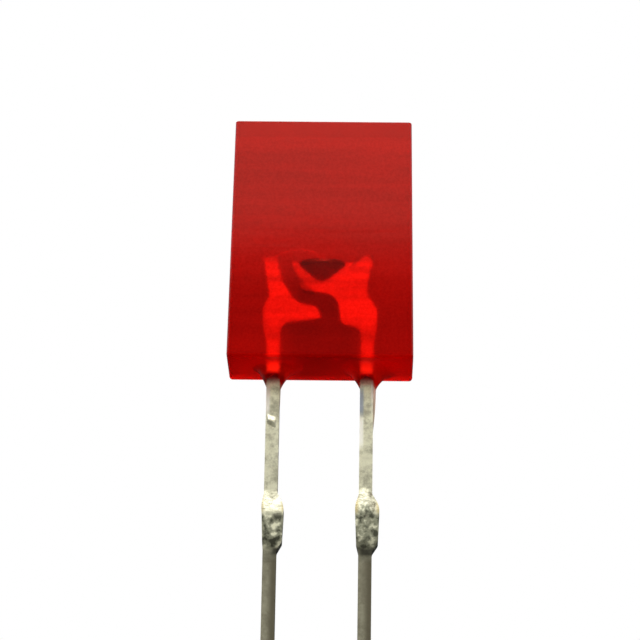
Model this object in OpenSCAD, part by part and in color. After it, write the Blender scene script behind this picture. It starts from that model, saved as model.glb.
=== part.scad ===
// Rectangular through hole indicator lamp: two stamped leads cast into a drafted resin block.
// The origin is the middle of the block's base, +Z runs up the block away from the leads,
// the anode stands at -X and the cathode at +X, and the front faces -Y.

/* [Resin block] */
// Width of the block at its base, across the leads
body_w = 5.05; // [4.2:0.05:7]
// Depth of the block at its base, front to back
body_d = 2; // [1.7:0.1:4]
// Height of the block above its base
body_h = 7; // [5:0.1:10]
// Draft of each side face, in degrees
body_draft = 0.6; // [0.2:0.1:1.5]
// Radius along the four upright edges
side_edge_r = 0.1; // [0.05:0.01:0.3]
// Radius round the top face
top_edge_r = 0.08; // [0.04:0.01:0.3]
// How far the resin crept down each lead
creep_h = 0.6; // [0.3:0.05:0.8]
// How far the crept resin spreads on the base, from the side of the lead
creep_spread = 0.6; // [0.3:0.05:0.6]
// Thickness of the crept resin where it ends on the lead
creep_film = 0.015; // [0.01:0.005:0.05]

/* [Stamped leads] */
// Distance between the centres of the two leads
lead_pitch = 2.54; // [2.2:0.02:2.8]
// Width of each lead
lead_w = 0.36; // [0.3:0.01:0.5]
// Thickness of the sheet that the leads are stamped from
sheet_t = 0.4; // [0.3:0.01:0.5]
// Length of the anode lead below the block
anode_len = 28; // [15:0.5:32]
// Length of the cathode lead below the block
cathode_len = 26.5; // [15:0.5:32]
// Length of the snipped taper at each lead's end
tip_taper = 0.25; // [0.1:0.05:0.5]

/* [Tie bar stubs] */
// Depth below the block where the stub starts to widen
stub_start = 3.6; // [2:0.1:6]
// Length of the shoulder over which the stub widens
stub_shoulder = 0.32; // [0.1:0.02:0.6]
// Length of the stub at its full width
stub_len = 1.02; // [0.4:0.02:2]
// Length of the lower shoulder, back to the lead
stub_tail = 0.25; // [0.1:0.05:0.6]
// How far the anode's stub stands out on its outer side
anode_stub_outer = 0.06; // [0.05:0.01:0.2]
// How far the anode's stub stands out on its inner side
anode_stub_inner = 0.18; // [0.06:0.01:0.4]
// How far the cathode's stub stands out on its inner side
cathode_stub_inner = 0.1; // [0.05:0.01:0.3]
// How far the cathode's stub stands out on its outer side
cathode_stub_outer = 0.2; // [0.06:0.01:0.4]
// How far each side of a stub draws in again towards its lower end
stub_draw = 0.04; // [0:0.01:0.04]

/* [Anode inside the block] */
// Height of the foot's underside above the base, at the lead
anode_foot_z = 1.16; // [0.8:0.02:1.3]
// Rise of the foot's underside from the lead to its tip
anode_foot_rise = 0.16; // [0.05:0.01:0.2]
// Reach of the foot past the lead
anode_foot_reach = 1.12; // [0.9:0.02:1.2]
// Thickness of the foot at its tip
anode_foot_t = 0.32; // [0.2:0.02:0.4]
// How far the foot's tip slants back at its top
anode_tip_slant = 0.14; // [0.05:0.01:0.25]
// How far the ear stands out past the lead
anode_ear_out = 0.11; // [0.05:0.01:0.2]
// How far the post's waist draws in from the lead's outer side
anode_waist = 0.05; // [0:0.01:0.08]
// Height of the post above the base
anode_post_top = 3.1; // [3:0.05:4]
// Width of the post at its top
anode_post_w = 0.38; // [0.34:0.02:0.5]
// How far the post's top stands out past the lead's outer side
anode_post_out = 0.15; // [0:0.01:0.15]
// Distance from the lead's inner side to the hollow between foot and post
hollow_out = 0.38; // [0.2:0.02:0.5]
// Height of that hollow above the foot's underside
hollow_rise = 0.62; // [0.5:0.02:0.8]
// Height of the knee on the post's inner side
knee_z = 2.45; // [2.2:0.05:2.8]

/* [Cathode inside the block] */
// Height of the foot's underside above the base, at the lead
cathode_foot_z = 1.05; // [0.8:0.02:1.2]
// Rise of the foot's underside from the lead to its inner side
cathode_foot_rise = 0.1; // [0.02:0.01:0.15]
// Reach of the foot past the lead
cathode_foot_reach = 0.54; // [0.3:0.02:0.6]
// How far the foot leans under the arm
cathode_foot_lean = 0.1; // [0.02:0.02:0.2]
// How far the ear stands out past the lead
cathode_ear_out = 0.07; // [0.03:0.01:0.2]
// How far the post's waist draws in from the lead's outer side
cathode_waist = 0.2; // [0.1:0.01:0.22]
// Height of the post above the base
cathode_post_top = 3.18; // [3.1:0.02:4]
// Width of the post at its top
cathode_post_w = 0.38; // [0.3:0.02:0.45]
// How far the post's top stands in from the lead's outer side
cathode_post_in = 0.01; // [0:0.01:0.1]
// Sheet left beside the cup, at the free end of the arm
arm_lip = 0.2; // [0.1:0.01:0.24]
// Sheet left under the cup
arm_t = 0.3; // [0.2:0.01:0.34]
// How far the arm's free end slants in towards its underside
arm_slant = 0.32; // [0.2:0.02:0.4]
// Rise of the arm's underside towards its free end
arm_rise = 0.06; // [0:0.01:0.1]
// Width of the valley between the cup and the post
valley_w = 0.2; // [0.1:0.02:0.24]

/* [Both feet] */
// Height over which each ear spreads, below its foot
ear_spread = 0.45; // [0.3:0.05:0.6]
// Height where the ears end and draw back into the posts
ear_top = 1.6; // [1.4:0.05:1.8]
// Height over which each ear draws back
ear_return = 0.4; // [0.3:0.05:0.5]
// Length of the narrow waist above each ear
waist_len = 0.35; // [0.1:0.05:0.4]

/* [Rounding of the stampings] */
// Radius of the sheared corners
shear_r = 0.04; // [0.01:0.01:0.08]
// Radius where the stubs leave their leads
shoulder_r = 0.15; // [0.05:0.05:0.3]
// Radius of the stubs' full upper corners
stub_top_r = 0.7; // [0.1:0.1:1]
// Radius of the stubs' lower corners
stub_low_r = 0.15; // [0.05:0.05:0.3]
// Radius of the posts' top corners
post_r = 0.08; // [0.02:0.01:0.12]
// Radius of the ears and of the feet's outer corners
foot_r = 0.2; // [0.1:0.02:0.3]
// Radius of the corners where leads, feet and arm meet
bend_r = 0.3; // [0.1:0.02:0.4]
// Radius of the slot's sweeping bends
slot_r = 0.55; // [0.3:0.05:0.7]

/* [Reflector cup] */
// Place of the cup's centre line across the block
cup_x = 0.02; // [-0.1:0.02:0.2]
// Height of the cup's rim above the base
cup_rim_z = 2.95; // [2.9:0.01:3]
// Outer radius of the coined cup
cup_outer_r = 0.66; // [0.62:0.01:0.7]
// Height of the cup from its nose to its rim
cup_outer_h = 0.6; // [0.5:0.01:0.65]
// Height of the upright lip below the rim
cup_lip_h = 0.09; // [0.04:0.01:0.15]
// Radius of the flat nose under the cup
cup_nose_r = 0.16; // [0.1:0.01:0.2]
// Radius of the cup's mouth
cup_mouth_r = 0.54; // [0.45:0.01:0.55]
// Radius of the cup's flat floor
cup_floor_r = 0.26; // [0.25:0.01:0.3]
// Depth of the cup below its rim
cup_depth = 0.34; // [0.2:0.01:0.4]

/* [Die and bond] */
// Side of the square die
die_w = 0.28; // [0.2:0.01:0.32]
// Height of the die
die_h = 0.18; // [0.1:0.01:0.25]
// Thickness of the adhesive under the die
attach_t = 0.02; // [0.01:0.005:0.04]
// How far the adhesive creeps up the die's sides
attach_creep = 0.04; // [0.02:0.01:0.08]
// Width of the adhesive's skirt at the die's corners, where it ends
attach_skirt = 0.01; // [0.005:0.001:0.015]
// Radius of the adhesive on the cup's floor
attach_r = 0.235; // [0.225:0.005:0.245]
// Radius of the contact on top of the die
pad_r = 0.06; // [0.05:0.005:0.08]
// Thickness of that contact
pad_t = 0.01; // [0.005:0.001:0.02]
// Radius of the bond wire
wire_r = 0.014; // [0.01:0.001:0.018]
// Radius of the ball at the wire's first end
ball_r = 0.04; // [0.03:0.002:0.045]
// Height of the ball
ball_h = 0.06; // [0.04:0.005:0.1]
// Rise of the wire's loop over the anode post
loop_rise = 0.36; // [0.25:0.01:0.5]
// Run of the loop's far shoulder, from the stitch back towards the cup
loop_run = 0.5; // [0.3:0.05:0.8]
// Length of the flattened stitch at the wire's last end
stitch_len = 0.08; // [0.05:0.01:0.12]

/* [Hidden] */

// Chords in one rounded corner, and facets of a full turn
arc_steps = 8;
revolve_fn = 64;
// How far a cutter reaches past what it cuts, and the slack that keeps it off tangency
cut_margin = 1;
cut_slack = 1.02;
// How deep the crept resin is rooted in the block
creep_root = 0.1;
// Powers of the curve it leaves the base by: how fast it draws in, and how fast it comes down
creep_in = 1.2;
creep_down = 1.5;

half_w = lead_w / 2;
anode_x = -lead_pitch / 2;
anode_outer = anode_x - half_w;
anode_inner = anode_x + half_w;
anode_tip_x = anode_inner + anode_foot_reach;
anode_tip_z = anode_foot_z + anode_foot_rise;
anode_post_left = anode_outer - anode_post_out;
anode_post_right = anode_post_left + anode_post_w;
anode_post_x = (anode_post_left + anode_post_right) / 2;
cathode_x = lead_pitch / 2;
cathode_outer = cathode_x + half_w;
cathode_inner = cathode_x - half_w;
cathode_post_right = cathode_outer - cathode_post_in;
cathode_foot_x = cathode_inner - cathode_foot_reach;
stub_full_z = -stub_start - stub_shoulder;
stub_low_z = stub_full_z - stub_len;
stub_end_z = stub_low_z - stub_tail;

arm_z = cup_rim_z - cup_outer_h - arm_t;
arm_left = cup_x - cup_outer_r - arm_lip;
cup_floor_z = cup_rim_z - cup_depth;
die_z = cup_floor_z + attach_t;
pad_z = die_z + die_h;
wire_z = pad_z + pad_t;

body_lean = tan(body_draft) * body_h;
corner_lean = atan(sqrt(2) * tan(body_draft));

function unit(v) = v / norm(v);

// One outline corner b between a and c, replaced by an arc of radius r that stays inside its edges
function corner_arc(a, b, c, r) =
    let (
        u = unit(a - b),
        v = unit(c - b),
        half = acos(u * v) / 2,
        reach = min(r / tan(half), norm(a - b) * 0.48, norm(c - b) * 0.48),
        fit_r = reach * tan(half),
        centre = b + unit(u + v) * fit_r / sin(half),
        from = b + u * reach - centre,
        to = b + v * reach - centre,
        start = atan2(from.y, from.x),
        turn = atan2(from.x * to.y - from.y * to.x, from * to)
    )
    [for (k = [0:arc_steps]) centre + fit_r * [cos(start + turn * k / arc_steps),
                                               sin(start + turn * k / arc_steps)]];

// Outline through corners [x, y, radius], with an arc at each corner that has a radius
function rounded(corners) =
    let (n = len(corners))
    [for (i = [0:n - 1])
        let (
            a = corners[(i + n - 1) % n],
            b = corners[i],
            c = corners[(i + 1) % n]
        )
        each b[2] > 0
            ? corner_arc([a.x, a.y], [b.x, b.y], [c.x, c.y], b[2])
            : [[b.x, b.y]]];

// The block seen square on, with drafted sides and rounded top corners
module block_profile(base) {
    top = base / 2 - body_lean;
    polygon(rounded([[-base / 2, 0, 0], [base / 2, 0, 0],
                     [top, body_h, top_edge_r], [-top, body_h, top_edge_r]]));
}

// What the rounding takes off an upright edge, with the corner at the origin and +X outward
module edge_waste() {
    centre = -side_edge_r * sqrt(2);
    cut_r = side_edge_r * cut_slack;
    arc = [for (k = [0:arc_steps])
        let (a = 45 - 90 * k / arc_steps)
        [centre + cut_r * cos(a), cut_r * sin(a)]];
    polygon(concat(arc, [[0, -cut_margin], [cut_margin, 0], [0, cut_margin]]));
}

// The cast block before anything is set into it
module block() {
    difference() {
        intersection() {
            rotate([90, 0, 0])
                linear_extrude(body_d + cut_margin, center = true)
                    block_profile(body_w);
            rotate([90, 0, 90])
                linear_extrude(body_w + cut_margin, center = true)
                    block_profile(body_d);
        }
        for (sx = [-1, 1], sy = [-1, 1])
            translate([sx * body_w / 2, sy * body_d / 2, 0])
                rotate([0, 0, atan2(sy, sx)])
                    rotate([0, -corner_lean, 0])
                        translate([0, 0, -cut_margin])
                            linear_extrude(body_h + 2 * cut_margin)
                                edge_waste();
    }
}

// Resin that crept down a lead: it leaves the base almost flat and ends in a thin film
module creep(x) {
    end_r = max(half_w, sheet_t / 2) + creep_film;
    base_r = end_r + creep_spread;
    curve = [for (k = [0:arc_steps])
        let (t = k / arc_steps)
        [end_r + creep_spread * pow(1 - t, creep_in), -creep_h * pow(t, creep_down)]];
    translate([x, 0, 0])
        rotate_extrude($fn = revolve_fn)
            polygon(concat([[0, creep_root], [base_r, creep_root]], curve, [[0, -creep_h]]));
}

module epoxy_body() {
    color([0.85, 0.05, 0.04, 0.45])
        difference() {
            union() {
                block();
                creep(anode_x);
                creep(cathode_x);
            }
            cathode_shape();
            anode_shape();
            die_shape();
            attach_shape();
            pad_shape();
            wire_shape();
        }
}

// One side of a lead's stub from below, with side 1 towards +X and -1 towards -X
function stub_side(x, side, out) = [
    [x + side * half_w, stub_end_z, shoulder_r],
    [x + side * (half_w + out - stub_draw), stub_low_z, stub_low_r],
    [x + side * (half_w + out), stub_full_z, stub_top_r],
    [x + side * half_w, -stub_start, shoulder_r]
];

// Snipped end of a lead, from its left side to its right
function lead_tip(x, length) = [
    [x - half_w, -length + tip_taper, 0],
    [x - half_w / 2, -length, 0],
    [x + half_w / 2, -length, 0],
    [x + half_w, -length + tip_taper, 0]
];

function reversed(list) = [for (i = [len(list) - 1:-1:0]) list[i]];

// Both outlines run anticlockwise: the tip, the right side up, the top, and the left side down
function cathode_outline() = concat(
    lead_tip(cathode_x, cathode_len),
    stub_side(cathode_x, 1, cathode_stub_outer),
    [
        [cathode_outer, cathode_foot_z - ear_spread, foot_r],
        [cathode_outer + cathode_ear_out, cathode_foot_z, foot_r],
        [cathode_outer + cathode_ear_out, ear_top, foot_r],
        [cathode_outer - cathode_waist, ear_top + ear_return, bend_r],
        [cathode_outer - cathode_waist, ear_top + ear_return + waist_len, slot_r],
        [cathode_post_right, cathode_post_top, post_r],
        [cathode_post_right - cathode_post_w, cathode_post_top, post_r],
        [cup_x + cup_outer_r + valley_w, cup_rim_z, post_r],
        [arm_left, cup_rim_z, shear_r],
        [arm_left + arm_slant, arm_z + arm_rise, bend_r],
        [cathode_foot_x - cathode_foot_lean, arm_z, slot_r],
        [cathode_foot_x, cathode_foot_z + cathode_foot_rise, foot_r],
        [cathode_inner, cathode_foot_z, bend_r]
    ],
    reversed(stub_side(cathode_x, -1, cathode_stub_inner))
);

function anode_outline() = concat(
    lead_tip(anode_x, anode_len),
    stub_side(anode_x, 1, anode_stub_inner),
    [
        [anode_inner, anode_foot_z, bend_r],
        [anode_tip_x, anode_tip_z, post_r],
        [anode_tip_x - anode_tip_slant, anode_tip_z + anode_foot_t, foot_r],
        [anode_inner + hollow_out, anode_foot_z + hollow_rise, slot_r],
        [anode_inner, knee_z, slot_r],
        [anode_post_right, anode_post_top, post_r],
        [anode_post_left, anode_post_top, post_r],
        [anode_outer + anode_waist, ear_top + ear_return, bend_r],
        [anode_outer - anode_ear_out, ear_top, foot_r],
        [anode_outer - anode_ear_out, cathode_foot_z, foot_r],
        [anode_outer, cathode_foot_z - ear_spread, foot_r]
    ],
    reversed(stub_side(anode_x, -1, anode_stub_outer))
);

// A stamped piece stands in the block's middle plane
module stamped(outline) {
    rotate([90, 0, 0])
        linear_extrude(sheet_t, center = true)
            polygon(rounded(outline));
}

// Half section of the cup's outside, from its nose up to its rim
cup_section = [
    [0, -cup_outer_h, 0],
    [cup_nose_r, -cup_outer_h, foot_r],
    [cup_outer_r, -cup_lip_h, shear_r],
    [cup_outer_r, 0, 0],
    [0, 0, 0]
];

module cathode_shape() {
    difference() {
        union() {
            stamped(cathode_outline());
            translate([cup_x, 0, cup_rim_z])
                rotate_extrude($fn = revolve_fn)
                    polygon(rounded(cup_section));
        }
        translate([cup_x, 0, cup_floor_z])
            cylinder(r1 = cup_floor_r, r2 = cup_mouth_r, h = cup_depth, $fn = revolve_fn);
    }
}

module anode_shape() {
    stamped(anode_outline());
}

module cathode_leadframe() {
    color([0.72, 0.71, 0.67])
        cathode_shape();
}

module anode_leadframe() {
    color([0.74, 0.73, 0.69])
        anode_shape();
}

module die_shape() {
    translate([cup_x - die_w / 2, -die_w / 2, die_z])
        cube([die_w, die_w, die_h]);
}

module led_die() {
    color([0.25, 0.22, 0.24])
        die_shape();
}

// Adhesive with its skirt round the foot of the die
module attach_shape() {
    difference() {
        translate([cup_x, 0, cup_floor_z])
            cylinder(r1 = attach_r, r2 = die_w / sqrt(2) + attach_skirt,
                     h = attach_t + attach_creep, $fn = 12);
        die_shape();
    }
}

module die_attach() {
    color([0.8, 0.8, 0.82])
        attach_shape();
}

module pad_shape() {
    translate([cup_x, 0, pad_z])
        cylinder(r = pad_r, h = pad_t, $fn = 12);
}

module bond_pad() {
    color([0.95, 0.78, 0.35])
        pad_shape();
}

// Centre line of the wire's free loop, from the ball to the stitch
wire_start = [cup_x, wire_z + ball_h];
wire_end = [anode_post_x + stitch_len, anode_post_top + wire_r];
loop_top = anode_post_top + loop_rise;
loop_steps = 20;
loop_probe = 0.01;
function loop_point(t) =
    pow(1 - t, 3) * wire_start
    + 3 * t * pow(1 - t, 2) * [wire_start.x, loop_top]
    + 3 * t * t * (1 - t) * [wire_end.x + loop_run, loop_top]
    + pow(t, 3) * wire_end;
function loop_heading(t) =
    unit(loop_point(min(t + loop_probe, 1)) - loop_point(max(t - loop_probe, 0)));

// The ball is cut off flat on the contact, at this share of its radius below its middle
ball_foot = 0.6;
ball_steps = 5;
function ball_ring_r(s) = max(wire_r, ball_r * sqrt(1 - pow((1 + ball_foot) * s - ball_foot, 2)));

// The stitch is pressed flat, and spreads as it thins
stitch_spread = 2;
stitch_half_t = wire_r / stitch_spread;

// Rings of the wire as [point, heading, half width, half height]
wire_rings = concat(
    [for (k = [0:ball_steps - 1])
        let (r = ball_ring_r(k / ball_steps))
        [[cup_x, wire_z + ball_h * k / ball_steps], [0, 1], r, r]],
    [for (k = [0:loop_steps])
        [loop_point(k / loop_steps), loop_heading(k / loop_steps), wire_r, wire_r]],
    [
        [[anode_post_x, anode_post_top + stitch_half_t], [-1, 0],
         wire_r * stitch_spread, stitch_half_t],
        [[anode_post_x - stitch_len / 2, anode_post_top + stitch_half_t / 2], [-1, 0],
         wire_r * stitch_spread, stitch_half_t / 2]
    ]
);
wire_sides = 8;
function ring_points(ring) =
    let (
        p = ring[0],
        across = [-ring[1].y, ring[1].x]
    )
    [for (j = [0:wire_sides - 1])
        let (
            a = 360 * (j + 0.5) / wire_sides,
            up = ring[3] / cos(180 / wire_sides) * sin(a)
        )
        [p.x + across.x * up, ring[2] * cos(a), p.y + across.y * up]];

module wire_shape() {
    n = len(wire_rings);
    points = [for (ring = wire_rings) each ring_points(ring)];
    walls = [for (i = [0:n - 2], j = [0:wire_sides - 1])
        let (
            j2 = (j + 1) % wire_sides,
            a = i * wire_sides + j,
            b = i * wire_sides + j2
        )
        each [[a, b, b + wire_sides], [a, b + wire_sides, a + wire_sides]]];
    first = [for (j = [wire_sides - 1:-1:0]) j];
    last = [for (j = [0:wire_sides - 1]) (n - 1) * wire_sides + j];
    polyhedron(points, concat(walls, [first, last]));
}

module bond_wire() {
    color([0.98, 0.8, 0.4])
        wire_shape();
}

epoxy_body();
cathode_leadframe();
anode_leadframe();
led_die();
die_attach();
bond_pad();
bond_wire();
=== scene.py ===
"""Looks of a rectangular through hole indicator lamp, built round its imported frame.

The red resin block is modelled here as one closed skin with the leads, cup, die and wire
standing inside it. The metal parts keep the frame's own meshes, with softened edges.
Lengths are in metres, +Z runs up the block and the front faces -Y.
"""

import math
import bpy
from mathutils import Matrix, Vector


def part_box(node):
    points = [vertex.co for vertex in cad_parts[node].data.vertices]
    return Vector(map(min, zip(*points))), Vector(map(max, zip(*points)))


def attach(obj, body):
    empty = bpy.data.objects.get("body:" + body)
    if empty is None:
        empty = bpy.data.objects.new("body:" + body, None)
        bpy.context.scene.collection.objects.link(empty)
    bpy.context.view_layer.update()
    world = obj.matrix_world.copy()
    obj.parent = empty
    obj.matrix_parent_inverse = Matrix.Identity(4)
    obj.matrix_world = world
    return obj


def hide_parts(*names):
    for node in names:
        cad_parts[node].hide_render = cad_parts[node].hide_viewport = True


bl_info = {
    "name": "Rectangular Indicator Lamp",
    "version": (1, 0, 0),
    "blender": (4, 5, 0),
    "location": "3D View > Sidebar > Lamp",
    "description": "Builds the resin block, plated leads, die and studio of a small indicator lamp",
    "category": "Object",
}

import bmesh
import bpy
from mathutils import Matrix, Vector

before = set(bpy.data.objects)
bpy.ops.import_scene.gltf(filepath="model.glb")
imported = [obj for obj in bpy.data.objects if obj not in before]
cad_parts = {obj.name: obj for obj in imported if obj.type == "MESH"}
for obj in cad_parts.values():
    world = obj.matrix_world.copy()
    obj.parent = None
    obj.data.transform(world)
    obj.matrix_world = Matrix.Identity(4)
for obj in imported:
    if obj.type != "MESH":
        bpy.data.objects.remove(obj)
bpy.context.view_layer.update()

MM = 0.001
PHOTO_SIDE = 640
RESIN_IOR = 1.55

WHITE = (1, 1, 1, 1)
BLACK = (0, 0, 0, 1)
PAINTED_SKIRT_GLOW = (1, 0.04, 0.01, 1)
PAINTED_BACK_EDGE_GLOW = (1, 0.04, 0.03, 1)
PAINTED_SHADE_SILVER = (0.02, 0.01, 0.01, 1)
BLUISH_EDGE = (0.36, 0.42, 0.62, 1)
STUB_END_SHADOW = (0.03, 0.03, 0.03, 1)
SHOULDER_BORDER = (0.38, 0.33, 0.2, 1)
RESIN_STAIN = (0.36, 0.05, 0.07, 1)
WARM_WALL = (1, 0.96, 0.74, 1)
PAPER_WHITE = (0.86, 0.86, 0.86, 1)

block_low, block_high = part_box("epoxy_body")
cathode_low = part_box("cathode_leadframe")[0]
anode_low, anode_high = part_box("anode_leadframe")


class Value:
    """A shader socket that arithmetic can be written on."""

    def __init__(self, graph, socket):
        self.graph = graph
        self.socket = socket

    def maths(self, operation, *operands):
        return self.graph.node(
            "ShaderNodeMath", {"operation": operation}, dict(enumerate(operands))
        )

    def __add__(self, other):
        return self.maths("ADD", self, other)

    def __radd__(self, other):
        return self.maths("ADD", other, self)

    def __sub__(self, other):
        return self.maths("SUBTRACT", self, other)

    def __rsub__(self, other):
        return self.maths("SUBTRACT", other, self)

    def __mul__(self, other):
        return self.maths("MULTIPLY", self, other)

    def __rmul__(self, other):
        return self.maths("MULTIPLY", other, self)

    def __truediv__(self, other):
        return self.maths("DIVIDE", self, other)

    def larger(self, other):
        return self.maths("MAXIMUM", self, other)

    def size(self):
        return self.maths("ABSOLUTE", self)

    def over(self, low, high):
        """Rises softly from 0 at low to 1 at high."""
        return self.graph.node(
            "ShaderNodeMapRange",
            {"interpolation_type": "SMOOTHSTEP"},
            {"Value": self, "From Min": low, "From Max": high},
        )

    def band(self, low, high, soft):
        """One between low and high, and nothing outside, with soft ends."""
        return self.over(low - soft, low + soft) * (1 - self.over(high - soft, high + soft))


class Graph:
    """The node tree of one material or world, emptied and built anew."""

    def __init__(self, owner):
        owner.use_nodes = True
        self.tree = owner.node_tree
        self.tree.nodes.clear()

    def node(self, kind, settings=None, inputs=None, output=0):
        """Adds a node, sets it up, fills or links its sockets, and returns one of its outputs."""
        made = self.tree.nodes.new(kind)
        for name, value in (settings or {}).items():
            setattr(made, name, value)
        for key, value in (inputs or {}).items():
            if isinstance(value, Value):
                self.tree.links.new(value.socket, made.inputs[key])
            else:
                made.inputs[key].default_value = value
        return Value(self, made.outputs[output])

    def place(self):
        """Object coordinates, which are the row frame in metres."""
        return self.node("ShaderNodeTexCoord", output="Object")

    def split(self, vector):
        parts = self.node("ShaderNodeSeparateXYZ", inputs={"Vector": vector})
        return [Value(self, socket) for socket in parts.socket.node.outputs]

    def millimetres(self, place):
        """The three coordinates of a place, in millimetres."""
        return [part / MM for part in self.split(place)]

    def stretched(self, vector, scale):
        return self.node("ShaderNodeMapping", inputs={"Vector": vector, "Scale": scale})

    def scaled(self, vector, scale):
        return self.stretched(vector, (scale, scale, scale))

    def noise(self, vector, detail=2.0, roughness=0.5, distortion=0.0):
        return self.node(
            "ShaderNodeTexNoise",
            inputs={
                "Vector": vector,
                "Scale": 1.0,
                "Detail": detail,
                "Roughness": roughness,
                "Distortion": distortion,
            },
        )

    def blend(self, factor, first, second):
        """Mixes two colours."""
        return self.node(
            "ShaderNodeMix",
            {"data_type": "RGBA"},
            {"Factor": factor, 6: first, 7: second},
            output=2,
        )

    def bump(self, height, depth, strength=1.0):
        return self.node(
            "ShaderNodeBump",
            inputs={"Height": height, "Distance": depth, "Strength": strength},
        )

    def finish(self, surface, volume=None, kind="ShaderNodeOutputMaterial"):
        ends = {"Surface": surface}
        if volume is not None:
            ends["Volume"] = volume
        end = self.tree.nodes.new(kind)
        for key, value in ends.items():
            self.tree.links.new(value.socket, end.inputs[key])


def opaque(colour):
    return (*colour, 1.0)


def new_material(name):
    material = bpy.data.materials.new(name)
    return material, Graph(material)


class ResinBlock(bpy.types.PropertyGroup):
    """Sizes and tint of the cast resin block."""

    lead_pitch: bpy.props.FloatProperty(
        name="Lead pitch",
        description="Distance between the leads that the resin crept down",
        default=2.54 * MM,
        unit="LENGTH",
    )
    lead_width: bpy.props.FloatProperty(
        name="Lead width",
        description="Width of each lead where it leaves the block",
        default=0.36 * MM,
        unit="LENGTH",
    )
    draft: bpy.props.FloatProperty(
        name="Draft",
        description="Draft of each side face",
        default=math.radians(0.6),
        subtype="ANGLE",
    )
    side_radius: bpy.props.FloatProperty(
        name="Side edge radius",
        description="Radius along the upright edges",
        default=0.1 * MM,
        unit="LENGTH",
    )
    top_radius: bpy.props.FloatProperty(
        name="Top edge radius",
        description="Radius round the top face",
        default=0.03 * MM,
        unit="LENGTH",
    )
    base_radius: bpy.props.FloatProperty(
        name="Base edge radius",
        description="Radius that surface tension left round the base",
        default=0.09 * MM,
        unit="LENGTH",
    )
    creep_spread: bpy.props.FloatProperty(
        name="Creep spread",
        description="How far the crept resin spreads on the base, from the side of the lead",
        default=0.74 * MM,
        unit="LENGTH",
    )
    creep_film: bpy.props.FloatProperty(
        name="Creep film",
        description="Thickness of the crept resin where it ends on the lead",
        default=0.015 * MM,
        unit="LENGTH",
    )
    run_bulge: bpy.props.FloatProperty(
        name="Run bulge",
        description="Thickness of the run of resin along each lead's right side",
        default=0.085 * MM,
        unit="LENGTH",
    )
    anode_run: bpy.props.FloatProperty(
        name="Anode run",
        description="Length of that run on the anode lead",
        default=0.9 * MM,
        unit="LENGTH",
    )
    cathode_run: bpy.props.FloatProperty(
        name="Cathode run",
        description="Length of that run on the cathode lead",
        default=1.3 * MM,
        unit="LENGTH",
    )
    tint: bpy.props.FloatVectorProperty(
        name="Tint",
        description="Colour that the resin's skin lets through",
        default=(0.60, 0.03, 0.02),
        subtype="COLOR",
    )
    film_tint: bpy.props.FloatVectorProperty(
        name="Film tint",
        description="Colour that the thin film on the leads lets through",
        default=(0.70, 0.62, 0.50),
        subtype="COLOR",
    )
    depth_tint: bpy.props.FloatVectorProperty(
        name="Depth tint",
        description="Colour that the resin takes on with depth",
        default=(0.97, 0.46, 0.29),
        subtype="COLOR",
    )
    depth_strength: bpy.props.FloatProperty(
        name="Depth strength",
        description="How fast the resin swallows light, for each metre",
        default=2600.0,
    )
    gloss_roughness: bpy.props.FloatProperty(
        name="Gloss roughness",
        description="Roughness of the moulded faces",
        default=0.09,
        subtype="FACTOR",
    )
    shade: bpy.props.FloatProperty(
        name="Low shade",
        description="How much less light the back lets through, low down beside the frame",
        default=0.45,
        subtype="FACTOR",
    )
    gap_shade: bpy.props.FloatProperty(
        name="Gap shade",
        description="How much less light the back lets through between the leads",
        default=0.52,
        subtype="FACTOR",
    )
    haze: bpy.props.FloatProperty(
        name="Haze",
        description="Share of the light that the resin's fine cloudiness spreads",
        default=0.65,
        subtype="FACTOR",
    )
    haze_roughness: bpy.props.FloatProperty(
        name="Haze spread",
        description="How widely that cloudiness spreads the light",
        default=0.42,
        subtype="FACTOR",
    )


class PlatedLeads(bpy.types.PropertyGroup):
    """Finish of the stamped and plated leads."""

    half_pitch: bpy.props.FloatProperty(
        name="Half pitch",
        description="Distance from the block's middle to the middle of each lead",
        default=1.27 * MM,
        unit="LENGTH",
    )
    edge_radius: bpy.props.FloatProperty(
        name="Edge radius",
        description="Radius that shearing and plating left on every edge",
        default=0.035 * MM,
        unit="LENGTH",
    )
    bright: bpy.props.FloatVectorProperty(
        name="Bright plating",
        description="Colour of the plating near the block",
        default=(1.0, 1.0, 0.86),
        subtype="COLOR",
    )
    dull: bpy.props.FloatVectorProperty(
        name="Dull plating",
        description="Colour of the plating below the stubs",
        default=(0.16, 0.148, 0.114),
        subtype="COLOR",
    )
    sheared: bpy.props.FloatVectorProperty(
        name="Sheared stub",
        description="Colour of the stubs' sheared faces",
        default=(0.32, 0.33, 0.27),
        subtype="COLOR",
    )
    silver: bpy.props.FloatVectorProperty(
        name="Silver plating",
        description="Colour of the frame inside the block",
        default=(0.95, 0.91, 0.84),
        subtype="COLOR",
    )
    stub_top: bpy.props.FloatProperty(
        name="Stub top",
        description="Height at which each stub starts to widen",
        default=-3.6 * MM,
        unit="LENGTH",
    )
    stub_full: bpy.props.FloatProperty(
        name="Stub full",
        description="Height at which each stub has its full width",
        default=-4.02 * MM,
        unit="LENGTH",
    )
    stub_end: bpy.props.FloatProperty(
        name="Stub end",
        description="Height at which each stub has drawn back to its lead",
        default=-5.19 * MM,
        unit="LENGTH",
    )
    stub_swell: bpy.props.FloatProperty(
        name="Stub swell",
        description="How far the stub's faces swell where the tie bar was sheared off",
        default=0.1 * MM,
        unit="LENGTH",
    )
    nick_height: bpy.props.FloatProperty(
        name="Nick height",
        description="Height of the small nick on the anode lead",
        default=-1.52 * MM,
        unit="LENGTH",
    )


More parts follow.
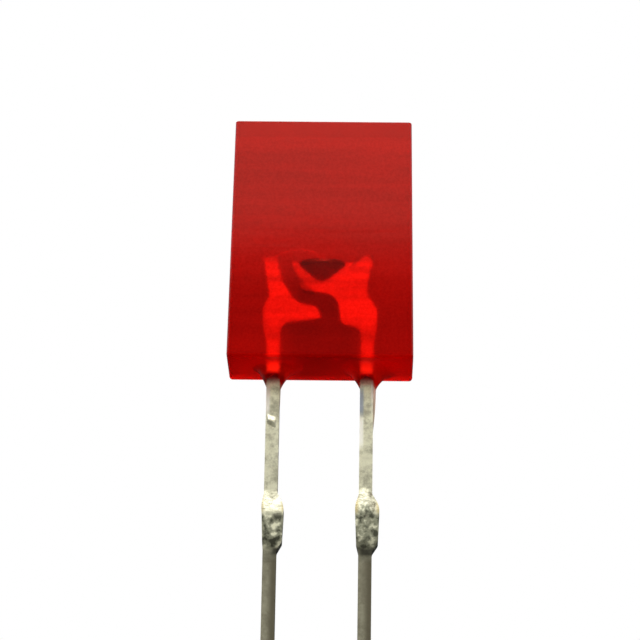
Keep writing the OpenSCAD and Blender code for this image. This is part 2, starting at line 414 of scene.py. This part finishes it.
class BondedDie(bpy.types.PropertyGroup):
    """Finish of the die, its adhesive and its gold bond."""

    crystal: bpy.props.FloatVectorProperty(
        name="Crystal",
        description="Colour of the die",
        default=(0.16, 0.13, 0.15),
        subtype="COLOR",
    )
    silver: bpy.props.FloatVectorProperty(
        name="Adhesive",
        description="Colour of the silver filled adhesive",
        default=(0.72, 0.72, 0.74),
        subtype="COLOR",
    )
    gold: bpy.props.FloatVectorProperty(
        name="Gold",
        description="Colour of the contact and the bond wire",
        default=(0.95, 0.70, 0.28),
        subtype="COLOR",
    )


class Studio(bpy.types.PropertyGroup):
    """Camera, lamp and backdrop."""

    azimuth: bpy.props.FloatProperty(
        name="Camera azimuth",
        description="Angle of the camera round the lamp, from straight in front",
        default=math.radians(1.15),
        subtype="ANGLE",
    )
    elevation: bpy.props.FloatProperty(
        name="Camera elevation",
        description="Angle of the camera above the block's base",
        default=math.radians(-20.6),
        subtype="ANGLE",
    )
    roll: bpy.props.FloatProperty(
        name="Camera roll",
        description="Turn of the camera about its own axis",
        default=math.radians(0.961),
        subtype="ANGLE",
    )
    distance: bpy.props.FloatProperty(
        name="Camera distance",
        description="Distance from the camera to the point that it looks at",
        default=74.95 * MM,
        unit="LENGTH",
    )
    target_x: bpy.props.FloatProperty(
        name="Target across",
        description="Place across the block that the camera looks at",
        default=-0.03 * MM,
        unit="LENGTH",
    )
    target_z: bpy.props.FloatProperty(
        name="Target height",
        description="Height that the camera looks at",
        default=1.436 * MM,
        unit="LENGTH",
    )
    focal_pixels: bpy.props.FloatProperty(
        name="Focal length in pixels",
        description="Focal length, in pixels of the square photograph",
        default=2729.0,
    )
    lamp_elevation: bpy.props.FloatProperty(
        name="Lamp elevation",
        description="Height of the soft lamp's middle above the horizon",
        default=math.radians(58.0),
        subtype="ANGLE",
    )
    lamp_distance: bpy.props.FloatProperty(
        name="Lamp distance",
        description="Distance from the block to the soft lamp",
        default=0.6,
        unit="LENGTH",
    )
    lamp_width: bpy.props.FloatProperty(
        name="Lamp width", description="Width of the soft lamp", default=0.6, unit="LENGTH"
    )
    lamp_height: bpy.props.FloatProperty(
        name="Lamp height", description="Height of the soft lamp", default=0.34, unit="LENGTH"
    )
    lamp_radiance: bpy.props.FloatProperty(
        name="Lamp radiance",
        description="Brightness of the soft lamp's face, where 1 is white",
        default=2.8,
    )
    ambient: bpy.props.FloatProperty(
        name="Ambient light",
        description="Even light from all round on what isn't shiny, where 1 is white",
        default=0.55,
    )
    room: bpy.props.FloatProperty(
        name="Dim room",
        description="Brightness in front of the block that shiny faces show, where 1 is white",
        default=0.05,
    )
    soft_front: bpy.props.FloatProperty(
        name="Soft front",
        description="Extra brightness of the front wall, high up, that shiny faces show",
        default=0.35,
    )
    frame_light: bpy.props.FloatProperty(
        name="Frame light",
        description="Extra light from the front that reaches the frame inside the resin",
        default=4.8,
    )
    floor_size: bpy.props.FloatProperty(
        name="Floor size", description="Width of the floor", default=6.0, unit="LENGTH"
    )


RING_SIDES = 64
CORNER_STEPS = 6
CREEP_STEPS = 20
RUN_STEPS = 12
# The resin that crept down each lead: the lead's side, its share of the full spread, and its
# share of the full run.
SKIRTS = ((-1, 0.66, 0.4), (1, 0.95, 1.0))


def rounded_ring(half_x, half_y, radius, z):
    """Points round a rectangle with round corners, anticlockwise from +X."""
    points = []
    for quarter, (side_x, side_y) in enumerate(((1, 1), (-1, 1), (-1, -1), (1, -1))):
        for step in range(CORNER_STEPS + 1):
            angle = math.radians(90 * (quarter + step / CORNER_STEPS))
            points.append(
                Vector(
                    (
                        side_x * (half_x - radius) + radius * math.cos(angle),
                        side_y * (half_y - radius) + radius * math.sin(angle),
                        z,
                    )
                )
            )
    return points


def lead_reach(settings, angle, grow):
    """Distance from a lead's middle to its side, at an angle, with the side moved out by grow."""
    half_x = settings.lead_width / 2 + grow
    half_y = (anode_high.y - anode_low.y) / 2 + grow
    corner_cut = 0.02 * MM
    return min(
        half_x / max(abs(math.cos(angle)), 1e-6),
        half_y / max(abs(math.sin(angle)), 1e-6),
        math.hypot(half_x, half_y) - corner_cut,
    )


def ring(centre_x, outline):
    """Points round a lead, from one (angle, radius, height) for each."""
    return [
        Vector((centre_x + radius * math.cos(angle), radius * math.sin(angle), height))
        for angle, radius, height in outline
    ]


def creep_depth(angle):
    """How far down the resin crept at an angle: less on the front and the back of the lead."""
    return block_low.z * (1 - 0.55 * math.sin(angle) ** 2)


def run_bead(settings, angle, thickness):
    """Thickness at an angle of the run of resin on a lead's right side."""
    return settings.run_bulge * thickness * max(math.cos(angle), 0) ** 8


def creep_ring(settings, centre_x, width, thickness, share):
    """One ring of the resin that crept down a lead: share 0 is on the base, 1 is its end."""
    draw_in, come_down, squareness, film_end, lean = 1.35, 1.6, 2.0, 6, 0.25
    start = (anode_high.y - anode_low.y) / 2 + settings.creep_film
    square = share**squareness
    grow = settings.creep_film * (1 - 2 * share**film_end)
    outline = []
    for side in range(RING_SIDES):
        angle = 2 * math.pi * side / RING_SIDES
        spread = settings.creep_spread * width * (1 + lean * math.cos(angle))
        spread *= (1 - share) ** draw_in
        reach = lead_reach(settings, angle, grow)
        radius = start + spread + (reach - start) * square
        radius += run_bead(settings, angle, thickness) * share**3
        outline.append((angle, radius, creep_depth(angle) * share**come_down))
    return ring(centre_x, outline)


def run_ring(settings, centre_x, length, thickness, share):
    """One ring of the thin run of resin along a lead's right side, below the crept resin."""
    outline = []
    for side in range(RING_SIDES):
        angle = 2 * math.pi * side / RING_SIDES
        radius = lead_reach(settings, angle, -settings.creep_film)
        radius += run_bead(settings, angle, thickness) * (1 - share**2)
        outline.append((angle, radius, creep_depth(angle) - length * share))
    return ring(centre_x, outline)


def join_rings(mesh, lower, upper):
    """Quads between two closed rings of as many points."""
    count = len(lower)
    for i in range(count):
        after = (i + 1) % count
        mesh.faces.new((lower[i], lower[after], upper[after], upper[i]))


def ring_edges(mesh, ring):
    return [mesh.edges.get((ring[i - 1], ring[i])) for i in range(len(ring))]


def block_mesh(settings):
    """The closed skin of the cast block: walls, top, base and the resin crept down the leads."""
    mesh = bmesh.new()
    height = block_high.z
    lean = math.tan(settings.draft)
    half_x, half_y = block_high.x, block_high.y
    levels = []
    for step in range(CORNER_STEPS + 1):
        angle = math.radians(90 * step / CORNER_STEPS)
        levels.append(
            (
                settings.base_radius * (1 - math.cos(angle)),
                settings.base_radius * (1 - math.sin(angle)),
            )
        )
    for step in range(CORNER_STEPS + 1):
        angle = math.radians(90 * step / CORNER_STEPS)
        levels.append(
            (
                height - settings.top_radius * (1 - math.sin(angle)),
                settings.top_radius * (1 - math.cos(angle)),
            )
        )
    rings = []
    for z, inset in levels:
        draw = z * lean + inset
        radius = max(settings.side_radius - inset, settings.side_radius / 4)
        points = rounded_ring(half_x - draw, half_y - draw, radius, z)
        rings.append([mesh.verts.new(p) for p in points])
    for lower, upper in zip(rings, rings[1:]):
        join_rings(mesh, lower, upper)
    mesh.faces.new(rings[-1])

    rims = []
    lengths = (settings.anode_run, settings.cathode_run)
    for (side, width, thickness), length in zip(SKIRTS, lengths):
        centre_x = side * settings.lead_pitch / 2
        outlines = [
            creep_ring(settings, centre_x, width, thickness, step / CREEP_STEPS)
            for step in range(CREEP_STEPS + 1)
        ]
        outlines += [
            run_ring(settings, centre_x, length, thickness, step / RUN_STEPS)
            for step in range(1, RUN_STEPS + 1)
        ]
        creeps = [[mesh.verts.new(p) for p in outline] for outline in outlines]
        for upper, lower in zip(creeps, creeps[1:]):
            join_rings(mesh, lower, upper)
        mesh.faces.new(list(reversed(creeps[-1])))
        rims += ring_edges(mesh, creeps[0])
    base = bmesh.ops.triangle_fill(
        mesh,
        use_beauty=True,
        use_dissolve=False,
        edges=ring_edges(mesh, rings[0]) + rims,
        normal=(0, 0, -1),
    )
    if not base["geom"]:
        raise RuntimeError("the block's base could not be filled")
    bmesh.ops.recalc_face_normals(mesh, faces=mesh.faces)
    return mesh


def new_piece(name, mesh, material, smooth_angle):
    """Makes a shown object of a bmesh, smooth up to an angle."""
    data = bpy.data.meshes.new(name)
    mesh.to_mesh(data)
    mesh.free()
    data.shade_smooth()
    data.set_sharp_from_angle(angle=smooth_angle)
    data.materials.append(material)
    piece = bpy.data.objects.new(name, data)
    bpy.context.scene.collection.objects.link(piece)
    return piece


def resin_colour(graph, settings, place):
    """Tint of the resin's skin, with painted shade low on the back and at its lower edges, painted
    glow at the skirts, the base's back edge and the top, and clear where it thins on a lead.
    """
    x, y, z = graph.millimetres(place)
    skirt_end = block_low.z / MM
    beside = (x.size() - settings.lead_pitch / MM / 2).size()
    wall = z.over(0.02, 0.1)
    base = 1 - wall

    streak = graph.noise(graph.stretched(place, (180, 180, 2600)), detail=4.0, distortion=0.6)
    mottle = graph.noise(graph.scaled(place, 13000), detail=3.0, roughness=0.7)
    tone = streak.over(0.3, 0.7) * 0.18 + mottle.over(0.3, 0.7) * 0.28

    # Painted shade for the frame's shadow in the cloudy resin: the back wall is darker low down,
    # and darkest behind the gap between the leads
    low = (1 - z.over(1.9, 3.7)) * (0.6 + z.over(0.2, 1.6) * 0.4)
    gap = (1 - x.size().over(0.5, 1.4)) * (1 - z.over(2.2, 3.3))
    behind = y.over(0.3, 0.8) * wall
    behind = behind * (1 - (1 - low * settings.shade) * (1 - gap * settings.gap_shade))

    # Painted shade also darkens the front's lower edge, the front of the base, and the base before
    # each lead
    sill = (1 - y.over(-0.95, -0.75)) * (1 - z.over(0.05, 0.3)) * 0.1
    under = base * (1 - y.over(0.35, 0.95)) * (0.33 - x.over(-2.0, -1.0) * 0.16)
    neck = base * (1 - y.over(-0.8, -0.6)) * (1 - beside.over(0.15, 0.3)) * 0.4
    edges = sill.larger(under).larger(neck)

    # Painted shade and light: a near black copy of the tint for the shaded parts, and a lighter
    # copy for the top
    dark = [part * 0.02 for part in settings.tint]
    lit_top = [part * 1.2 for part in settings.tint]
    shade = 1 - (1 - behind) * (1 - tone) * (1 - edges)
    cast = graph.blend(shade, opaque(settings.tint), opaque(dark))
    cast = graph.blend(z.over(6.2, 7.0), cast, opaque(lit_top))

    # Painted glow: the skirt glows before each lead, and the base glows along its back edge
    skirt_glow_mask = (1 - beside.over(0.06, 0.22)) * z.over(-0.22, -0.12) * (1 - z.over(0.02, 0.05))
    cast = graph.blend(skirt_glow_mask * y.band(-0.62, -0.1, 0.12) * 0.5, cast, PAINTED_SKIRT_GLOW)
    cast = graph.blend(base * y.over(0.35, 1.0), cast, PAINTED_BACK_EDGE_GLOW)

    film = (1 - beside.over(0.22, 0.3)) * (1 - z.over(-0.5, -0.4))
    film = film.larger(1 - z.over(skirt_end - 0.1, skirt_end))
    return graph.blend(film, cast, opaque(settings.film_tint))


def resin_material(settings):
    """Slightly cloudy red cast resin, with faint flow marks across its faces."""
    material, graph = new_material("cast_red_resin")
    place = graph.place()
    colour = resin_colour(graph, settings, place)
    z = graph.millimetres(place)[2]
    flow = graph.noise(graph.stretched(place, (260, 260, 3600)), detail=3.0, distortion=0.4)
    sink = graph.noise(graph.scaled(place, 420), detail=1.0)
    peel = graph.noise(graph.scaled(place, 9000), detail=2.0)
    normal = graph.bump(flow * 0.003 + sink * 0.019 + peel * 0.0006, 1.0 * MM, 0.5)
    smears = graph.noise(graph.scaled(place, 700)) * 0.04
    gloss = graph.node(
        "ShaderNodeBsdfPrincipled",
        inputs={
            "Base Color": colour,
            "Roughness": smears + (1 - z.over(-0.1, 0)) * 0.25 + (settings.gloss_roughness - 0.02),
            "Transmission Weight": 1.0,
            "IOR": RESIN_IOR,
            "Normal": normal,
        },
    )
    cloudy = graph.node(
        "ShaderNodeBsdfPrincipled",
        inputs={
            "Base Color": colour,
            "Roughness": settings.haze_roughness,
            "Transmission Weight": 1.0,
            "IOR": RESIN_IOR,
            "Specular Tint": BLACK,
            "Normal": normal,
        },
    )
    haze = (1 - z.over(0.07, 0.12)) * (1 - settings.haze) + settings.haze
    surface = graph.node("ShaderNodeMixShader", inputs={0: haze, 1: gloss, 2: cloudy})
    depth = graph.node(
        "ShaderNodeVolumeAbsorption",
        inputs={"Color": opaque(settings.depth_tint), "Density": settings.depth_strength},
    )
    graph.finish(surface, depth)
    return material


def frame_silver(graph, settings, place, local):
    """Silver of the frame in the block, with painted shade on the cup, arm, post and leads' sides,
    and faint bands that are stronger higher up.
    """
    x, y, z = graph.millimetres(place)
    # Painted shade: the cup's front, the arm, a strip along the arm's lower left edge, the leads'
    # sides, a band low on the leads and the post's tip fade towards near black; the strip and the
    # tip stand in for the arm's edge shape and the post's rounder tip
    cup = (1 - y.over(-0.26, -0.21)) * (0.26 + z.over(2.8, 2.85) * 0.4)
    arm = x.band(-0.8, 0.0, 0.1) * z.over(2.1, 2.3) * 0.2
    across = 0.07 - x
    arm_edge = z - across * 0.25 - across * across * 0.93
    shaded_arm_edge = (1 - arm_edge.over(1.93, 2.03)) * (z - across * 0.5).over(1.82, 1.87)
    shaded_arm_edge = shaded_arm_edge * across.over(0.0, 0.1) * (1 - across.over(0.85, 0.95)) * 0.55
    lead_sides = local.size().over(0.08, 0.2) * (1 - z.over(1.1, 1.4)) * 0.22
    lead_foot = z.band(0.62, 1.0, 0.1) * 0.26
    from_tip = x - 1.19
    post_tip = (z + from_tip * from_tip * 3.5).over(3.05, 3.2) * x.over(0.75, 0.95) * 0.7
    dim = cup.larger(arm).larger(shaded_arm_edge).larger(lead_sides).larger(lead_foot).larger(post_tip)

    bands = graph.noise(graph.stretched(place, (200, 200, 4500)), detail=2.0, distortion=0.3)
    banding = bands.over(0.42, 0.6) * (0.45 + z.over(2.0, 2.4) * 0.35)
    dim_silver = [0.6 * part for part in settings.silver]
    silver = graph.blend(banding, opaque(settings.silver), opaque(dim_silver))
    return graph.blend(dim, silver, PAINTED_SHADE_SILVER)


def torn_metal(graph, settings, place):
    """Torn face that was left where the tie bar was sheared off."""
    blotch = graph.noise(graph.scaled(place, 4600), detail=3.0, roughness=0.52)
    pit = [0.3 * part for part in settings.sheared]
    torn = graph.blend(blotch.over(0.38, 0.5), opaque(pit), opaque(settings.sheared))
    return graph.blend(blotch.over(0.5, 0.66) * 0.8, torn, opaque(settings.bright))


def plated_material(settings):
    """Plated strip steel: silver in the block, bright below it, sheared at the stubs, then darker,
    with painted shade, highlights and shadow in places.
    """
    material, graph = new_material("plated_strip")
    place = graph.place()
    x, y, z = graph.millimetres(place)
    stub_top, stub_full = settings.stub_top / MM, settings.stub_full / MM
    stub_end, nick_low = settings.stub_end / MM, settings.nick_height / MM - 0.04
    right = x.over(-0.1, 0.1)
    local = x - (right * 2 - 1) * (settings.half_pitch / MM)
    rolled = graph.noise(graph.stretched(place, (26000, 26000, 1200)), detail=4.0, roughness=0.6)
    cloud = graph.noise(graph.scaled(place, 2600), detail=4.0, roughness=0.65)
    grain = graph.noise(graph.scaled(place, 9000), detail=3.0, roughness=0.7)

    # Along the lead: inside the resin, stained by it, sheared at the stub, darker below, with a
    # painted shadow just under each stub's end
    inside = z.over(-0.2, -0.14)
    stain = z.over(-0.6, -0.28)
    below = 1 - z.over(stub_end - 0.35, stub_end + 0.1)
    arch = right * (1 - local.size().over(0.02, 0.26)) * 0.3
    stub = z.over(stub_end - 0.03, stub_end + 0.13)
    stub = stub * (1 - (z - arch).over(stub_full - 0.26, stub_full))
    # Painted shadow: near black just under each stub's end, more towards its right
    stub_end_shade_mask = z.band(stub_end - 0.12, stub_end + 0.08, 0.06)
    stub_end_shade_mask = stub_end_shade_mask * (local + right * 0.2).over(-0.05, 0.15) * 0.8
    uneven = z - arch * 0.4 + (cloud - 0.5) * 0.2
    swell = 1 - uneven.over(stub_full - 0.2, stub_top + 0.1)
    swell = swell * z.over(stub_end - 0.35, stub_end + 0.45)

    # Marks: the nick on the left lead, and painted highlights, a white streak along the right
    # lead's right edge and white along the leads' left edges
    nick = 1 - (z + local * 0.4).over(nick_low, nick_low + 0.16)
    nick = nick * (z + local * 0.5).over(nick_low - 0.17, nick_low - 0.02)
    nick = nick * (1 - right) * local.band(-0.13, 0.08, 0.03)
    right_edge_highlight = right * local.band(0.12, 0.2, 0.012)
    right_edge_highlight = right_edge_highlight * (z.band(-0.9, -0.4, 0.1) * 0.6 + z.over(-1.7, -0.9) * 0.4)
    edge = 1 - local.over(-0.12, -0.04)
    left_edge_highlight = edge * (z + right * 0.9).band(-1.35, -0.55, 0.15)
    glint = right_edge_highlight.larger(left_edge_highlight)
    # A bluish tint along the right lead's left edge
    blue = right * edge * z.band(-1.35, -0.6, 0.2)

    # Mottled plating wear, plus painted shade that tones down the shoulders' highlight, more on the
    # right lead
    wear_and_shoulder_shade = cloud.over(0.38, 0.66) * 0.5 + grain.over(0.35, 0.7) * 0.14 + rolled * 0.04
    shoulder = z.band(stub_full - 0.2, stub_top + 0.05, 0.1)
    wear_and_shoulder_shade = wear_and_shoulder_shade + shoulder * (0.27 + right * 0.2)
    colour = graph.blend(wear_and_shoulder_shade, opaque(settings.bright), opaque(settings.dull))
    colour = graph.blend(blue * 0.8, colour, BLUISH_EDGE)
    # Painted highlight: the glint mask turns those edges white
    colour = graph.blend(glint, colour, WHITE)
    # Painted shade: below the stubs each lead is darker on its right side than on its left
    shaded_side = 0.7 + local.over(-0.1, 0.12) * 0.3
    colour = graph.blend(below * shaded_side, colour, opaque(settings.dull))
    colour = graph.blend(stub, colour, torn_metal(graph, settings, place))
    colour = graph.blend(stub_end_shade_mask, colour, STUB_END_SHADOW)
    border = (local - 0.055).size().over(0.19, 0.3) * z.band(stub_full - 0.1, stub_top, 0.1)
    colour = graph.blend(border, colour, SHOULDER_BORDER)
    colour = graph.blend(stain, colour, RESIN_STAIN)
    colour = graph.blend(inside, colour, frame_silver(graph, settings, place, local))

    roughness = 0.32 + cloud * 0.14 + rolled * 0.06 + below * 0.08 + stub * 0.08 + glint * 0.3
    relief = rolled * 0.004 + cloud * 0.004 + grain * (0.001 + stub * 0.004)
    relief = relief * (1 - inside * 0.6) + swell * (settings.stub_swell / MM) + nick * 0.03
    surface = graph.node(
        "ShaderNodeBsdfPrincipled",
        inputs={
            "Base Color": colour,
            "Metallic": 1.0,
            "Roughness": roughness * (1 - inside) + inside * 0.5,
            "Normal": graph.bump(relief, 1.0 * MM),
        },
    )
    graph.finish(surface)
    return material


def crystal_material(settings):
    """Dark semiconductor crystal, with saw marks down its sides."""
    material, graph = new_material("sawn_crystal")
    place = graph.place()
    saw = graph.noise(graph.stretched(place, (60000, 60000, 4000)), detail=2.0)
    cloud = graph.noise(graph.scaled(place, 20000), detail=2.0)
    tone = [1.5 * part for part in settings.crystal]
    surface = graph.node(
        "ShaderNodeBsdfPrincipled",
        inputs={
            "Base Color": graph.blend(cloud, opaque(settings.crystal), opaque(tone)),
            "Roughness": 0.2 + saw * 0.3,
            "IOR": 3.0,
            "Normal": graph.bump(saw, 0.003 * MM, 0.6),
        },
    )
    graph.finish(surface)
    return material


def adhesive_material(settings):
    """Cured silver filled adhesive with its flakes."""
    material, graph = new_material("silver_flake_adhesive")
    flakes = graph.node(
        "ShaderNodeTexVoronoi",
        inputs={"Vector": graph.place(), "Scale": 90000.0},
    )
    dim = [0.5 * part for part in settings.silver]
    surface = graph.node(
        "ShaderNodeBsdfPrincipled",
        inputs={
            "Base Color": graph.blend(flakes, opaque(settings.silver), opaque(dim)),
            "Metallic": 0.8,
            "Roughness": 0.45 + flakes * 0.3,
            "Normal": graph.bump(flakes, 0.002 * MM, 0.5),
        },
    )
    graph.finish(surface)
    return material


def gold_material(settings):
    """Drawn gold of the bond wire and the contact."""
    material, graph = new_material("drawn_gold")
    grain = graph.noise(graph.scaled(graph.place(), 40000), detail=3.0)
    deep = [0.8 * part for part in settings.gold]
    surface = graph.node(
        "ShaderNodeBsdfPrincipled",
        inputs={
            "Base Color": graph.blend(grain, opaque(settings.gold), opaque(deep)),
            "Metallic": 1.0,
            "Roughness": 0.18 + grain * 0.2,
            "Normal": graph.bump(grain, 0.001 * MM, 0.4),
        },
    )
    graph.finish(surface)
    return material


def dress(node, material):
    """Gives a node of the frame its one material."""
    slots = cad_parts[node].data.materials
    slots.clear()
    slots.append(material)


def soften_edges(node, radius):
    """Rounds a frame node's sheared edges without touching its own mesh."""
    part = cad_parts[node]
    weld = part.modifiers.new("weld", "WELD")
    weld.merge_threshold = 0.0005 * MM
    bevel = part.modifiers.new("rounded_edges", "BEVEL")
    bevel.width = radius
    bevel.segments = 3
    bevel.limit_method = "ANGLE"
    bevel.angle_limit = math.radians(50)
    bevel.miter_outer = "MITER_ARC"
    bevel.harden_normals = True


class LAMP_OT_resin_block(bpy.types.Operator):
    """Build the cast resin block round the leads"""

    bl_idname = "lamp.resin_block"
    bl_label = "Resin Block"

    def execute(self, context):
        settings = context.scene.lamp_resin
        material = resin_material(settings)
        piece = new_piece("resin_block", block_mesh(settings), material, math.radians(35))
        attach(piece, "root")
        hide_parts("epoxy_body")
        return {"FINISHED"}


class LAMP_OT_plated_leads(bpy.types.Operator):
    """Plate both leads and round their sheared edges"""

    bl_idname = "lamp.plated_leads"
    bl_label = "Plated Leads"

    def execute(self, context):
        settings = context.scene.lamp_leads
        material = plated_material(settings)
        for node in ("cathode_leadframe", "anode_leadframe"):
            dress(node, material)
            soften_edges(node, settings.edge_radius)
        return {"FINISHED"}


class LAMP_OT_bonded_die(bpy.types.Operator):
    """Finish the die, its adhesive, its contact and the bond wire"""

    bl_idname = "lamp.bonded_die"
    bl_label = "Bonded Die"

    def execute(self, context):
        settings = context.scene.lamp_die
        gold = gold_material(settings)
        dress("led_die", crystal_material(settings))
        dress("die_attach", adhesive_material(settings))
        dress("bond_pad", gold)
        dress("bond_wire", gold)
        return {"FINISHED"}


def world_light(studio):
    """White for what looks straight out, a soft box for the resin, and a room to be mirrored."""
    world = bpy.data.worlds.new("studio_world")
    bpy.context.scene.world = world
    graph = Graph(world)
    rays = graph.node("ShaderNodeLightPath").socket.node.outputs
    camera = Value(graph, rays["Is Camera Ray"])
    through = Value(graph, rays["Is Transmission Ray"]) * (1 - camera)
    shiny = Value(graph, rays["Is Glossy Ray"]) * (1 - camera) * (1 - through)
    rest = 1 - camera - through - shiny
    x, y, z = graph.split(graph.node("ShaderNodeTexCoord", output="Generated"))
    front = 1 - y.over(-0.65, -0.1)
    soft_box = front * z.over(0.0, 0.25)

    # What shiny faces show in front: a dim wall with brighter steps up to a soft panel
    wall = studio.room + z.over(0.32, 0.37) * 0.15 + z.over(0.365, 0.44) * 1.08
    wall = wall + z.over(0.46, 0.62) * studio.soft_front + (1 - z.over(-0.3, -0.1)) * 0.4

    # And elsewhere: white above, a low glow at both sides, and a dark screen straight behind
    aside = x.size().over(0.45, 0.65)
    above = z.over(0.05, 0.3) * 0.99 + aside * z.band(-0.23, -0.03, 0.04) * 0.45 + 0.01
    screen = (1 - x.size().over(0.5, 0.7)) * z.band(0.0, 0.58, 0.08) * 0.9
    mirrored = front * wall + (1 - front) * above * (1 - screen)
    strength = (
        camera
        + through * (1 + soft_box * studio.frame_light)
        + shiny * mirrored
        + rest * studio.ambient
    )
    graph.finish(
        graph.node(
            "ShaderNodeBackground",
            inputs={
                "Color": graph.blend(shiny * front, WHITE, WARM_WALL),
                "Strength": strength,
            },
        ),
        kind="ShaderNodeOutputWorld",
    )


def floor_material():
    """White paper that keeps the object's shadow, and plain white farther out."""
    material, graph = new_material("white_floor")
    rays = graph.node("ShaderNodeLightPath").socket.node.outputs
    seen = Value(graph, rays["Is Camera Ray"])
    for kind in ("Is Glossy Ray", "Is Transmission Ray"):
        seen = seen.larger(Value(graph, rays[kind]))
    paper = graph.node(
        "ShaderNodeBsdfPrincipled",
        inputs={"Base Color": PAPER_WHITE, "Roughness": 1.0},
    )
    glow = graph.node("ShaderNodeEmission", inputs={"Color": WHITE, "Strength": seen * 0.3})
    lit = graph.node("ShaderNodeAddShader", inputs={0: paper, 1: glow})
    white = graph.node("ShaderNodeEmission", inputs={"Color": WHITE, "Strength": seen})
    x, y, z = graph.millimetres(graph.place())
    near_edge, far_edge = 40, 160
    far = (x * x + y * y).over(near_edge**2, far_edge**2)
    graph.finish(graph.node("ShaderNodeMixShader", inputs={0: far, 1: lit, 2: white}))
    return material


def add_floor(studio):
    half = studio.floor_size / 2
    z = min(anode_low.z, cathode_low.z)
    data = bpy.data.meshes.new("floor")
    corners = [(-half, -half, z), (half, -half, z), (half, half, z), (-half, half, z)]
    data.from_pydata(corners, [], [(0, 1, 2, 3)])
    data.materials.append(floor_material())
    floor = bpy.data.objects.new("floor", data)
    floor.visible_glossy = False
    bpy.context.scene.collection.objects.link(floor)


def add_lamp(studio):
    """One large soft lamp in front of the block and above it."""
    data = bpy.data.lights.new("soft_lamp", "AREA")
    data.shape = "RECTANGLE"
    data.size = studio.lamp_width
    data.size_y = studio.lamp_height
    data.energy = studio.lamp_radiance * math.pi * studio.lamp_width * studio.lamp_height
    lamp = bpy.data.objects.new("soft_lamp", data)
    lamp.visible_camera = False
    away = Vector((0, -math.cos(studio.lamp_elevation), math.sin(studio.lamp_elevation)))
    lamp.location = away * studio.lamp_distance
    lamp.rotation_mode = "QUATERNION"
    lamp.rotation_quaternion = away.to_track_quat("Z", "Y")
    bpy.context.scene.collection.objects.link(lamp)


def add_camera(studio):
    """The photograph's own viewpoint, found from the block's corners and the leads."""
    data = bpy.data.cameras.new("photo_camera")
    data.sensor_width = 36.0
    data.lens = studio.focal_pixels / PHOTO_SIDE * data.sensor_width
    data.clip_start = studio.distance / 100
    data.clip_end = studio.floor_size * 2
    camera = bpy.data.objects.new("photo_camera", data)
    back = Vector(
        (
            math.sin(studio.azimuth) * math.cos(studio.elevation),
            -math.cos(studio.azimuth) * math.cos(studio.elevation),
            math.sin(studio.elevation),
        )
    )
    level = Vector((0, 0, 1)).cross(back).normalized()
    upward = back.cross(level)
    right = level * math.cos(studio.roll) + upward * math.sin(studio.roll)
    top = upward * math.cos(studio.roll) - level * math.sin(studio.roll)
    place = Vector((studio.target_x, 0, studio.target_z)) + back * studio.distance
    camera.matrix_world = Matrix((right, top, back)).transposed().to_4x4()
    camera.location = place
    bpy.context.scene.collection.objects.link(camera)
    bpy.context.scene.camera = camera


class LAMP_OT_studio(bpy.types.Operator):
    """Set the floor, the light and the camera"""

    bl_idname = "lamp.studio"
    bl_label = "Studio"

    def execute(self, context):
        studio = context.scene.lamp_studio
        world_light(studio)
        add_floor(studio)
        add_lamp(studio)
        add_camera(studio)
        context.scene.view_settings.view_transform = "Standard"
        return {"FINISHED"}


OPERATORS = (
    LAMP_OT_resin_block,
    LAMP_OT_plated_leads,
    LAMP_OT_bonded_die,
    LAMP_OT_studio,
)
SETTINGS = {
    "lamp_resin": ResinBlock,
    "lamp_leads": PlatedLeads,
    "lamp_die": BondedDie,
    "lamp_studio": Studio,
}


class LAMP_PT_build(bpy.types.Panel):
    """The operators that build the lamp, and the sizes and colours they use"""

    bl_label = "Indicator Lamp"
    bl_idname = "LAMP_PT_build"
    bl_space_type = "VIEW_3D"
    bl_region_type = "UI"
    bl_category = "Lamp"

    def draw(self, context):
        for operator, settings in zip(OPERATORS, SETTINGS):
            column = self.layout.column(align=True)
            column.operator(operator.bl_idname)
            values = getattr(context.scene, settings)
            for name in SETTINGS[settings].__annotations__:
                column.prop(values, name)


CLASSES = (*SETTINGS.values(), *OPERATORS, LAMP_PT_build)


def register():
    for made in CLASSES:
        bpy.utils.register_class(made)
    for name, group in SETTINGS.items():
        setattr(bpy.types.Scene, name, bpy.props.PointerProperty(type=group))


def unregister():
    for name in SETTINGS:
        delattr(bpy.types.Scene, name)
    for made in reversed(CLASSES):
        bpy.utils.unregister_class(made)


def main():
    register()
    bpy.ops.lamp.resin_block()
    bpy.ops.lamp.plated_leads()
    bpy.ops.lamp.bonded_die()
    bpy.ops.lamp.studio()


if __name__ == "__main__":
    main()
